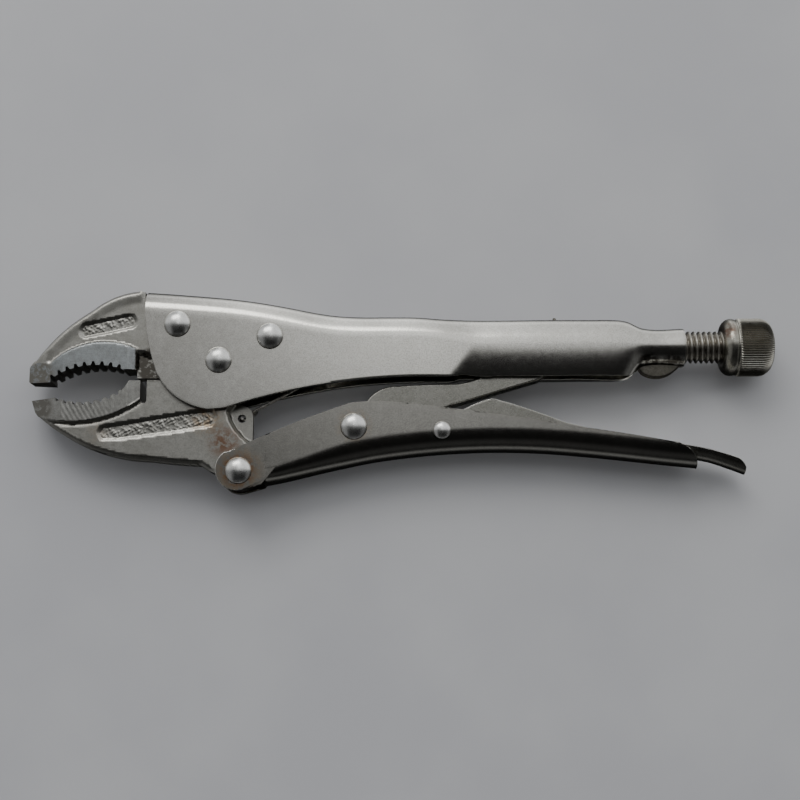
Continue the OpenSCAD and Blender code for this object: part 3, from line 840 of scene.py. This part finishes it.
def new_jaw(name, node, body, pad, pad_face, in_bite, parts):
    """Forged steel, with the pad material on the raised pad and tooth steel in the bite."""
    verts, faces, rims, n_tri, v2 = parts
    mid = np.array([v2[f].mean(0) for f in np.array(faces[:n_tri])])
    in_pad = (signed(pad, mid) > 0.03).astype(int)
    wall_mid = np.array([verts[f].mean(0)[:2] for f in faces[2 * n_tri:]])
    wall_idx = np.where(in_bite(wall_mid), 2, 0)
    idx = list(in_pad) + list(in_pad) + list(wall_idx)
    new_object(name, verts, faces, body, [node], [forged, pad_face, tooth], idx,
               bevel=(0.22, 2), weights=rims, smooth_angle=50)


def lumps(p, high):
    """Worn, rough casting in the bottom of a recess."""
    x, y = p[:, 0], p[:, 1]
    a = np.sin(2.9 * x + 1.3 * np.sin(1.7 * y)) * np.sin(3.3 * y + 1.1 * np.sin(2.1 * x + 0.7))
    b = np.sin(4.7 * x - 2.2 * y + 0.9) * np.sin(1.9 * x + 4.1 * y)
    c = np.sin(0.9 * x + 0.4) * np.sin(1.3 * y + 0.5 * x)
    return high * np.clip(0.6 * a + 0.4 * b + 0.5 * c, -0.1, 0.9)


PITCH, DEEP = 2.87, 1.25
UC, UR = (-40.6, -28.4), 27.0
up_teeth = zigzag(UC, UR, 74, 9, PITCH, DEEP, 69.9, 124.5)
back = pts([(-60.4, -0.5), (-58.5, 2.2)], bow((-56.5, 4.6), (-43.7, 15.7), 0.7, 10),
           bow((-41.7, 17.1), (-26.8, 23.3), 1.2, 10))
back_mid = dense(back, 0.8, closed=False) + 1.4 * np.array([-0.75, 0.8])
upper_outline = dense(pts(
    (-63.0, -7.1), (jaw_tip_x, -6.7), (jaw_tip_x, -1.9), (-63.0, -1.3), list(back_mid),
    (-25.2, 23.6), (-25.2, 18.2), (-20, 17.4), (14, 14.4), (23, 12.4), bow((23, 12.4), (23.6, 2.5), 1.2, 6),
    arc(jaw_pin, 9.25, 15.7, 215.7, 30), (-18, -5.4), (-27.4, -5.4), (-27.4, -2.8), (-31.3, -2.8),
    up_teeth, (-55.9, -7.1)), 0.8)
pad_top = dense(pts((jaw_tip_x - 1, -1.0), (-62.6, -1.3), (-60.8, -0.3), (-58.4, -0.55),
                    bow((-56, -0.8), (-27.9, 4.3), 4.4, 24), (-27.9, -4)), 0.5, closed=False)
pad_poly = pts(list(pad_top), (-27.9, -12), (-70, -12), (-70, -1))
cutter = pts((-27.6, -9), (-27.6, 3.6), (-24, 2.5), (-22, 2.0), (-17.5, 1.5), (-15, 1.2), (-15, -9))
pocket_u = pts(bow((-45.4, 7.9), (-45.6, 12.9), 1.4, 8), (-38, 14.55), (-30.4, 16.2),
               bow((-30.4, 16.2), (-29.2, 11.4), 2, 8), (-37, 9.6))


def upper_height(p):
    d_back = distance(back_mid, p, closed=False)
    d_back = np.where(p[:, 0] > -26, 9, d_back)
    body = 1.1 + (JAW - 1.1) * np.sqrt(np.clip(1 - (1 - np.clip(d_back / 1.6, 0, 1)) ** 2, 0, 1))
    # the forging dips a little between its back and its pad
    body = body - 0.25 * ramp(d_back, 1.5, 5.0)
    s = signed(pocket_u, p)
    body = body - 0.8 * ramp(s, -0.05, 0.6)
    c = signed(cutter, p)
    body = body - 1.5 * ramp(c, -0.05, 0.35)
    s = signed(pad_poly, p)
    top = PAD - 0.75 * ramp(p[:, 0], -30.2, -28.0)
    h = np.maximum(body, body + (top - body) * ramp(s, -0.35, 0.05))
    h = h + lumps(p, 0.16) * ramp(signed(pocket_u, p), 0.6, 1.0)
    return np.minimum(h, tip_limit(p))


up_lines = [(offset_line(back_mid, -d), False) for d in (0.07, 0.28, 0.65, 1.1, 1.6)]
pad_inner = pad_top[1:-1]
up_lines += [(pad_inner, False), (offset_line(pad_inner, 0.35), False)]
pk = dense(pocket_u, 0.35)
up_lines += [(pk, True), (dense(offset_line(dense(pocket_u, 0.4), -0.55, True), 0.4), True)]
up_lines += [(dense([(-27.3, 3.4), (-24, 2.45), (-22, 1.95), (-17.5, 1.45)], 0.6, closed=False), False)]
new_jaw("upper_jaw_forging", "upper_jaw", "frame", pad_poly, ground,
        lambda m: (m[:, 1] < -1.5) & (m[:, 0] < -31) & (m[:, 0] > -57),
        relief(upper_outline, up_lines, upper_height,
               [(lambda p: signed(pocket_u, p) > 0.6, 0.36),
                (lambda p: (p[:, 0] < -16) & (signed(pocket_u, p) <= 0.6), 0.62),
                (lambda p: (p[:, 0] >= -15), 2.4)]))

LC, LR = (-45.6, 9.3), 23.2
low_teeth = zigzag(LC, LR, 251.0, 8, PITCH, 0.9, 249.0, 309.0)
body_right = dense(pts((12.2, -33.9), bow((10, -27), (3, -17), 1.1, 12),
                       bow((3.4, -16), (8, -4), -0.8, 8)), 0.7, closed=False)
lug_hole = np.array([7.5, -18.8])
lower_outline = dense(pts(
    (-62.2, -13.1), (-60.8, -17.2), (-59.7, -18.5), bow((-59.2, -18.7), (-23.3, -32.8), -3.4, 24),
    bow((-22, -32.9), (-6, -34.3), -0.2, 5), (-2.5, -36.6), arc(handle_pin, 5.8, 195, 390, 28),
    (11.2, -28), (11.2, -17.4), bow((11.1, -17), (6.5, -14.4), -0.9, 6), (4.5, -13.7),
    bow((5.6, -10.8), (8, -4), -0.3, 5),
    arc(jaw_pin, 8.9, -26, 222, 40), (-9, -6.3), (-23.9, -6.3), (-23.9, -13.4), (-24.4, -14.0),
    (-25.4, -14.0), (-26, -13.2), (-26, -6.5), (-29.6, -6.5), list(low_teeth[::-1]),
    (-55.6, -12.5)), 0.8)
low_pad_edge = dense(pts((-61.8, -19.2), (-59.6, -18.6), bow((-59.6, -18.6), (-26, -12.9), -4.2, 30),
                         (-25.2, -12.2)), 0.5, closed=False)
low_pad_poly = pts(list(low_pad_edge), (-25, -2), (-75, -2), (-75, -19.2))
pocket_l = pts(bow((-38.2, -26.5), (-38.2, -21.6), 1.5, 8), (-30, -20.3), (-22.5, -19), (-9, -16.8),
               (-3, -16), bow((-1.6, -16.4), (-2.2, -21.8), 1, 8), (-15, -24), (-32, -26.2))
lower_edge_line = dense(pts(bow((-59.2, -18.7), (-23.3, -32.8), -3.4, 24),
                            bow((-22, -32.9), (-6, -34.3), -0.2, 5), (-2.5, -36.6)), 0.8, closed=False)


def lower_height(p):
    d_edge = distance(lower_edge_line, p, closed=False)
    body = JAW - 0.9 * np.sqrt(np.clip(1 - np.clip(d_edge / 0.9, 0, 1), 0, 1)) ** 2
    s = signed(pocket_l, p)
    body = body - 0.8 * ramp(s, -0.05, 0.65)
    s = signed(low_pad_poly, p)
    # the forging falls away in a shallow trough under the pad
    body = body - 0.3 * ramp(s, -1.4, -0.6)
    h = np.maximum(body, body + (PAD - body) * ramp(s, -0.4, 0.05))
    h = h + lumps(p, 0.16) * ramp(signed(pocket_l, p), 0.5, 0.9)
    lines = 0.020 * np.sin((p[:, 0] * 0.85 + p[:, 1] * 0.50) * 2 * np.pi / 1.4)
    fade = (1 - 0.8 * ramp(p[:, 0], -44, -32)) * (1 - ramp(p[:, 0], -30, -27))
    h = h + lines * ramp(s, 0.2, 0.8) * fade * (1 + 0.8 * (1 - ramp(p[:, 0], -57, -54)))
    h = h - 0.7 * ramp(s, 0.1, 0.3) * ramp(p[:, 0], -30.2, -28.4)
    right = signed(pts(list(body_right), (0, 0), (-80, 0), (-80, -60), (12.2, -60)), p)
    h = np.where(p[:, 0] > 0, 1.6 + (h - 1.6) * ramp(right, -0.3, 0.3), h)
    return np.minimum(h, tip_limit(p))


low_lines = [(low_pad_edge[2:-2], False), (offset_line(low_pad_edge[2:-2], -0.4), False)]
low_lines += [(dense(pocket_l, 0.35), True),
              (dense(offset_line(dense(pocket_l, 0.4), -0.6, True), 0.4), True)]
br = body_right[(body_right[:, 1] > -32.5) & (body_right[:, 1] < -14.5)]
low_lines += [(offset_line(br, 0.3), False), (offset_line(br, -0.3), False)]
low_lines += [(offset_line(lower_edge_line, d), False) for d in (0.15, 0.45, 0.9)]
hole = np.array(arc(lug_hole, 1.4, 0, 345, 23))
new_jaw("lower_jaw_forging", "lower_jaw", "lower_jaw", low_pad_poly, striated,
        lambda m: (m[:, 1] > -16) & (m[:, 0] < -30) & (m[:, 0] > -56),
        relief(lower_outline, low_lines, lower_height,
               [(lambda p: signed(low_pad_poly, p) > 0.1, 0.36),
                (lambda p: signed(pocket_l, p) > 0.65, 0.36),
                (lambda p: (signed(low_pad_poly, p) <= 0.1) & (signed(pocket_l, p) <= 0.65)
                 & ((p[:, 1] < -8) | (p[:, 0] < -18)), 0.75),
                (lambda p: (p[:, 1] >= -7.5) & (p[:, 0] > -17.5), 2.4)], holes=[hole]))

# ------------------------------------------------------------------- rivets


def rivet(name, node, at, body, head_d=8.8, head_h=2.4, shank_d=5.8):
    """Two domed heads on one shank."""
    r = head_d / 2
    dome = [(r * math.sin(a), head_h * math.cos(a)) for a in np.linspace(0, math.pi / 2, 14)]
    dome = [(0.02, head_h)] + dome[1:-1] + [(r, 0.12), (r * 0.985, 0.0)]
    top = [(q[0], SHELL + q[1]) for q in dome]
    prof = top + [(shank_d / 2, SHELL - 0.05), (shank_d / 2, -SHELL + 0.05)]
    prof += [(q[0], -SHELL - q[1]) for q in dome[::-1]]
    prof = prof[::-1]
    verts, faces = revolve(prof, 56, "z", at)
    new_object(name, verts, faces, body, [node], [rivet_mat], None, smooth_angle=60)


for node, at, body in (
        ("front_jaw_rivet", front_pin, "frame"),
        ("rear_jaw_rivet", rear_pin, "frame"),
        ("jaw_pivot_rivet", jaw_pin, "frame"),
        ("handle_pivot_rivet", handle_pin, "lower_handle"),
        ("toggle_pivot_rivet", toggle_pin, "lower_handle")):
    rivet(node + "_heads", node, at, body)
rivet("lever_pivot_rivet_heads", "lever_pivot_rivet", lever_pin, "lower_handle", 5.8, 1.5, 3.6)

# -------------------------------------------------------------------- screw

SCREW_R, THREAD, SCREW_PITCH = 5.4, 1.05, 1.814
knob_x = 168.0
rod_a, rod_b = tip_x + 4.0, knob_x + 0.6
n_x = int((rod_b - rod_a) / SCREW_PITCH * 10)  # ten rings to a turn of the thread
n_t = 56
gx = np.linspace(rod_a, rod_b, n_x)
ga = np.linspace(0, 2 * np.pi, n_t, endpoint=False)
X, A = np.meshgrid(gx, ga, indexing="ij")
ph = ((X / SCREW_PITCH) - A / (2 * np.pi)) % 1.0
tri = 1 - np.abs(ph * 2 - 1)
prof = np.clip((tri - 0.10) / 0.74, 0, 1)
fade = ramp(X, rod_a, rod_a + 2.2)
R = SCREW_R - THREAD + THREAD * prof * fade - 0.25 * (1 - ramp(X, rod_a, rod_a + 1.2))
verts = np.stack([X, screw_y + R * np.cos(A), R * np.sin(A)], -1).reshape(-1, 3)
faces = grid_faces(n_x, n_t, wrap_v=True)
faces.append(list(range(n_t))[::-1])
faces.append([(n_x - 1) * n_t + i for i in range(n_t)])
new_object("screw_thread", verts, faces, "adjusting_screw", (), [screw_mat], None,
           smooth_angle=70)

kr = knob_r - 0.02
knob = [(0.3, knob_x - 0.1), (4.6, knob_x), (5.5, knob_x + 0.1)]
knob += [(q[1], q[0]) for q in bow((knob_x + 0.15, 5.7), (171.5, kr - 0.2), 1.4, 18)]
knob += [(kr - 0.3, 172.1), (kr - 0.6, 172.3), (kr - 0.75, 172.6), (kr - 0.6, 172.9), (kr - 0.15, 173.2),
         (kr, 173.5)]
knob += [(kr, x) for x in np.linspace(174, 179.4, 8)]
knob += [(q[1], q[0]) for q in bow((179.7, kr), (end_x - 0.45, 4.9), 1.6, 20)]
knob += [(4.0, end_x - 0.32), (3.0, end_x - 0.3), (0.3, end_x - 0.3)]


KNURLS, KNURL_DEEP = 72, 0.55


def knurl(h, ang):
    """Depth of the straight knurling, which fades out at both ends of the knob."""
    mask = float(ramp(h, 172.9, 173.6)) * (1 - float(ramp(h, 183.8, 184.7)))
    return mask * KNURL_DEEP * (0.5 - 0.5 * np.cos(ang * KNURLS)) ** 0.8


verts, faces = revolve(knob, 576, "x", (screw_y, 0), knurl)
new_object("adjusting_knob", verts, faces, "adjusting_screw", ["adjusting_screw"], [knob_mat], None,
           smooth_angle=70)
tip = [(0.2, tip_x), (3.2, tip_x), (3.7, tip_x + 0.5), (4.0, tip_x + 1.4), (4.0, tip_x + 4.0),
       (0.2, tip_x + 4.0)]
verts, faces = revolve(tip, 40, "x", (screw_y, 0))
new_object("screw_tip_dog", verts, faces, "screw_tip", ["screw_tip"], [screw_mat], None,
           smooth_angle=40)

# ------------------------------------------------------------- return spring

hook = np.array([*lug_hole, 0.0])
anchor = np.array([62.5, 11.2, 0.0])
run = anchor - hook
length = float(np.linalg.norm(run))
axis = run / length
side_v = np.array([-axis[1], axis[0], 0.0])
up_v = np.array([0, 0, 1.0])
coil_a, coil_b, coil_r, wire_r = 30.0, length - 11.0, 2.65, 0.55
COIL_PITCH, HOOK_R = 1.32, 2.9
hook_line = []
for a in np.linspace(-40, -310, 30):
    a = math.radians(a) + math.pi / 2
    hook_line.append((2.4 + HOOK_R * math.cos(a), 0.0, HOOK_R * math.sin(a)))
spring_line = hook_line[::-1]
first = spring_line[-1]
spring_line += [(x, 0.0, coil_r) for x in np.linspace(max(first[0] + 1.5, 4.0), coil_a - 1, 12)]
turns = int((coil_b - coil_a) / COIL_PITCH)
for i in range(turns * 20 + 1):
    a = 2 * math.pi * i / 20
    spring_line.append((coil_a + (coil_b - coil_a) * i / (turns * 20), coil_r * math.sin(a),
                        coil_r * math.cos(a)))
spring_line += [(coil_b + 0.8, 0.0, 1.8), (coil_b + 1.8, 0.0, 0.6)]
spring_line += [(x, 0.0, 0.0) for x in np.linspace(coil_b + 3, length - 0.2, 5)]
centre_line = [hook + axis * p[0] + side_v * p[1] + up_v * p[2] for p in spring_line]
verts, faces = tube(centre_line, wire_r)
spring = new_object("return_spring_wire", verts, faces, "frame", ["return_spring"], [wire_mat], None,
                    smooth_angle=80)
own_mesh(spring)

# -------------------------------------------------------------------- floor

n = Nodes("pale_floor")
patch = n.noise(0.012, 4, 0.5)
fibre = n.noise(0.9, 3, 0.6, stretch=(0.35, 1, 1))
tone = n.mix(n.span(patch, 0.35, 0.65), (0.60, 0.60, 0.625), (0.655, 0.655, 0.67))
n.put(n.bsdf.inputs["Base Color"], tone)
n.put(n.bsdf.inputs["Roughness"], n.span(patch, 0.3, 0.7, 0.42, 0.52))
n.bsdf.inputs["Specular IOR Level"].default_value = 0.45
n.bump([(fibre, 0.010)])
me = bpy.data.meshes.new("floor")
half = 3.0
me.from_pydata([(-half, -half, 0), (half, -half, 0), (half, half, 0), (-half, half, 0)], [], [(0, 1, 2, 3)])
me.materials.append(n.mat)
floor = bpy.data.objects.new("floor", me)
bpy.context.scene.collection.objects.link(floor)
floor.visible_glossy = False

# ---------------------------------------------------------- light and camera


def area(name, loc, aim, size, power, color):
    """A rectangular soft light that faces aim."""
    d = bpy.data.lights.new(name, "AREA")
    d.shape = "RECTANGLE"
    d.size, d.size_y = size
    d.energy = power
    d.color = color
    o = bpy.data.objects.new(name, d)
    o.location = loc
    o.rotation_mode = "QUATERNION"
    o.rotation_quaternion = (Vector(aim) - Vector(loc)).to_track_quat("-Z", "Y")
    bpy.context.scene.collection.objects.link(o)


area("window", (-0.38, 1.0, 1.00), (0, 0, 0), (0.8, 0.6), 5.2, (1.0, 1.0, 0.98))

world = bpy.data.worlds.new("room")
bpy.context.scene.world = world
world.use_nodes = True
nt = world.node_tree
bg = next(x for x in nt.nodes if x.type == "BACKGROUND")
tc = nt.nodes.new("ShaderNodeTexCoord")
sep = nt.nodes.new("ShaderNodeSeparateXYZ")
nt.links.new(tc.outputs["Generated"], sep.inputs[0])


def world_span(value, a, b, lo, hi):
    """Smooth step from lo at a to hi at b."""
    m = nt.nodes.new("ShaderNodeMapRange")
    m.interpolation_type = "SMOOTHSTEP"
    nt.links.new(value, m.inputs["Value"])
    for k, v in (("From Min", a), ("From Max", b), ("To Min", lo), ("To Max", hi)):
        m.inputs[k].default_value = v
    return m.outputs["Result"]


def world_math(op, a, b):
    m = nt.nodes.new("ShaderNodeMath")
    m.operation = op
    for k, v in enumerate((a, b)):
        if isinstance(v, bpy.types.NodeSocket):
            nt.links.new(v, m.inputs[k])
        else:
            m.inputs[k].default_value = v
    return m.outputs[0]


# The room: a bright ceiling on the +Y side that fades to both ends of the tool, weak light from
# both sides and from behind, and a faint band of light just below the horizon.
X, Y, Z = (sep.outputs[k] for k in "XYZ")
ceiling = world_span(Y, 0.05, 0.26, 0.006, 1.75)
ceiling = world_math("MULTIPLY", ceiling, world_span(X, -0.15, 0.02, 0.27, 1.0))
ceiling = world_math("MULTIPLY", ceiling, world_span(X, 0.0, 0.13, 1.0, 0.52))
ceiling = world_math("MULTIPLY", ceiling, world_span(Z, -0.80, -0.35, 0.06, 1.0))
sides = world_math("ADD", world_span(X, -0.75, -0.42, 0.20, 0.0), world_span(X, 0.5, 0.85, 0.0, 0.10))
sides = world_math("MULTIPLY", sides, world_span(Z, -0.2, 0.1, 0.0, 1.0))
level = world_math("ABSOLUTE", world_math("SUBTRACT", Z, -0.30), 0)
band = world_span(level, 0.0, 0.28, 0.34, 0.008)
behind = world_math("MULTIPLY", world_span(Y, -0.95, -0.7, 0.05, 0.0),
                    world_span(Z, 0.0, 0.25, 0.0, 1.0))
room = world_math("ADD", world_math("ADD", ceiling, sides), world_math("ADD", band, behind))
rays = nt.nodes.new("ShaderNodeLightPath")
soft = world_math("MULTIPLY", rays.outputs["Is Diffuse Ray"], 0.12)
nt.links.new(world_math("ADD", room, soft), bg.inputs["Strength"])
bg.inputs["Color"].default_value = (0.97, 0.985, 1.0, 1)

# The camera stands half a metre over the tool, tilted 9.5 degrees from straight down.
cam_data = bpy.data.cameras.new("camera")
cam_data.lens, cam_data.sensor_width = 64.8, 36
camera = bpy.data.objects.new("camera", cam_data)
aim = Vector((-0.0009, -0.0029, 0.0099))
camera.location = Vector((-0.0009, -0.0824, 0.4852))
camera.rotation_mode = "QUATERNION"
camera.rotation_quaternion = (aim - camera.location).to_track_quat("-Z", "Y")
cam_data.clip_start, cam_data.clip_end = 0.01, 20
bpy.context.scene.collection.objects.link(camera)
bpy.context.scene.camera = camera
